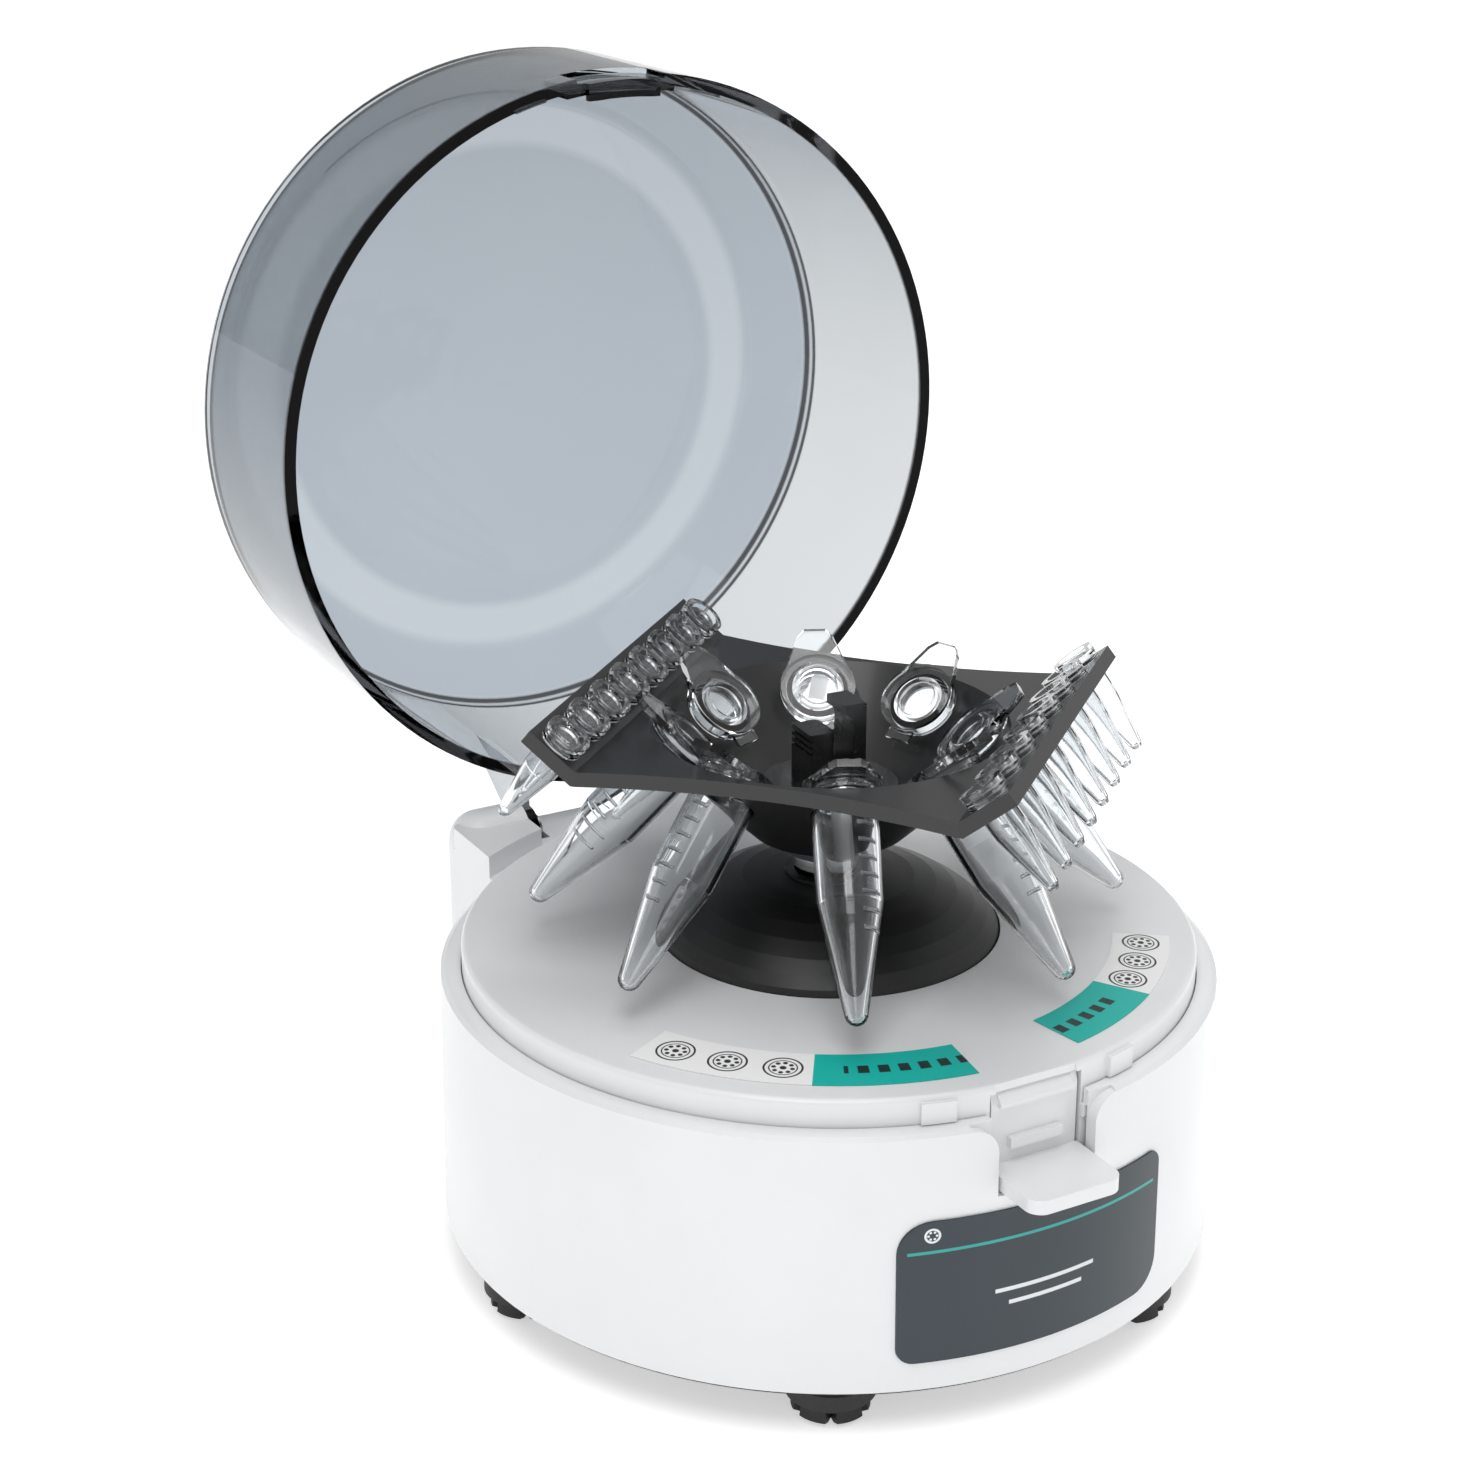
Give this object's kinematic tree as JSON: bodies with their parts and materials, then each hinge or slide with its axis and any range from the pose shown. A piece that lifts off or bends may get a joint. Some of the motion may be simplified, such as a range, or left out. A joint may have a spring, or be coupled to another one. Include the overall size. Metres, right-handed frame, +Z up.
{
  "type": "laboratory mini centrifuge",
  "caption": "Bench-top mini centrifuge with a hinged clear lid, a sprung latch and a lift-off square rotor that carries large tubes and tube strips",
  "frame": {"origin": "on the bench plane, straight below the spindle", "axes": "+Z up along the spindle; -Y towards the latch and nameplate at the front; +Y towards the lid hinge; +X to the right seen from the front"},
  "size_m": [0.1334, 0.203, 0.1912],
  "materials": {
    "case_white": "glossy moulded, cool white",
    "base_black": "fine textured",
    "foot_rubber": "soft matt rubber",
    "zinc_steel": "zinc plated",
    "nameplate_print": "slate blue film with a thin teal line",
    "label_print": "teal and white printed film",
    "boot_black": "smooth satin black",
    "pin_steel": "ground",
    "spring_steel": "plain",
    "smoke_clear": "clear moulded with a smoke tint",
    "nickel_can": "nickel plated, drawn",
    "black_moulding": "moulded",
    "ferrite": "pressed and ground",
    "brass_tag": "stamped",
    "bronze": "sintered, oiled",
    "shaft_steel": "ground",
    "copper_winding": "varnished copper wire",
    "cradle_grey": "moulded",
    "damper_rubber": "soft",
    "board_green": "solder mask",
    "rocker_black": "moulded",
    "red_lead": "insulated wire",
    "black_lead": "insulated wire",
    "rotor_black": "satin moulded",
    "hub_black": "satin moulded",
    "tube_clear": "clear moulded",
    "strip_clear": "clear moulded"
  },
  "bodies": {
    "housing": {"lower_housing": "case_white", "top_deck": "case_white", "bottom_plate": "base_black", "foot_1": "foot_rubber", "foot_2": "foot_rubber", "foot_3": "foot_rubber", "foot_4": "foot_rubber", "foot_5": "foot_rubber", "foot_6": "foot_rubber", "case_screws": "zinc_steel", "nameplate": "nameplate_print", "deck_label_left": "label_print", "deck_label_right": "label_print", "motor_boot": "boot_black", "latch_pin": "pin_steel", "hinge_pin_left": "pin_steel", "hinge_pin_right": "pin_steel", "motor_can": "nickel_can", "motor_end_cap": "black_moulding", "motor_magnets": "ferrite", "motor_terminals": "brass_tag", "upper_bearing": "bronze", "lower_bearing": "bronze", "motor_cradle": "cradle_grey", "rubber_dampers": "damper_rubber", "damper_screws": "zinc_steel", "circuit_board": "board_green", "board_parts": "black_moulding", "dc_inlet": "black_moulding", "inlet_contact": "brass_tag", "switch_frame": "black_moulding", "power_leads": "red_lead", "motor_leads": "black_lead"},
    "lid": {"lid_shell": "smoke_clear"},
    "latch": {"latch_tongue": "case_white", "latch_spring": "spring_steel"},
    "spindle": {"drive_shaft": "shaft_steel", "drive_collar": "shaft_steel", "armature": "copper_winding", "commutator": "brass_tag"},
    "rotor": {"rotor_plate": "rotor_black", "rotor_hub": "hub_black", "drive_sleeve": "shaft_steel", "lever_pin": "pin_steel", "tube_1": "tube_clear", "tube_2": "tube_clear", "tube_3": "tube_clear", "tube_4": "tube_clear", "tube_5": "tube_clear", "tube_6": "tube_clear", "tube_7": "tube_clear", "tube_8": "tube_clear", "strip_left": "strip_clear", "strip_right": "strip_clear", "strip_caps_left": "strip_clear", "strip_caps_right": "strip_clear"},
    "lever": {"release_lever": "hub_black"},
    "rocker": {"switch_rocker": "rocker_black"}
  },
  "joints": [
    {"name": "lid_hinge", "type": "hinge", "parent": "housing", "child": "lid", "pos_m": [0, 0.07264, 0.05238], "axis": [1, 0, 0], "range_deg": [0, 90]},
    {"name": "latch_press", "type": "hinge", "parent": "housing", "child": "latch", "pos_m": [0, -0.0598, 0.03835], "axis": [-1, 0, 0], "range_deg": [0, 4.5], "stiffness_Nm_per_rad": 0.3},
    {"name": "spindle_spin", "type": "hinge", "parent": "housing", "child": "spindle", "pos_m": [0, 0, 0.06], "axis": [0, 0, 1], "continuous": true},
    {"name": "rotor_lift", "type": "slide", "parent": "spindle", "child": "rotor", "axis": [0, 0, -1], "range_m": [-0.05, 0]},
    {"name": "lever_squeeze", "type": "hinge", "parent": "rotor", "child": "lever", "pos_m": [0.00334, -0.0002, 0.08095], "axis": [-0.061, -0.9981, 0], "range_deg": [0, 4], "stiffness_Nm_per_rad": 0.1},
    {"name": "switch_rock", "type": "hinge", "parent": "housing", "child": "rocker", "pos_m": [0.015, 0.0742, 0.027], "axis": [0, 0, 1], "range_deg": [0, 18]}
  ]
}
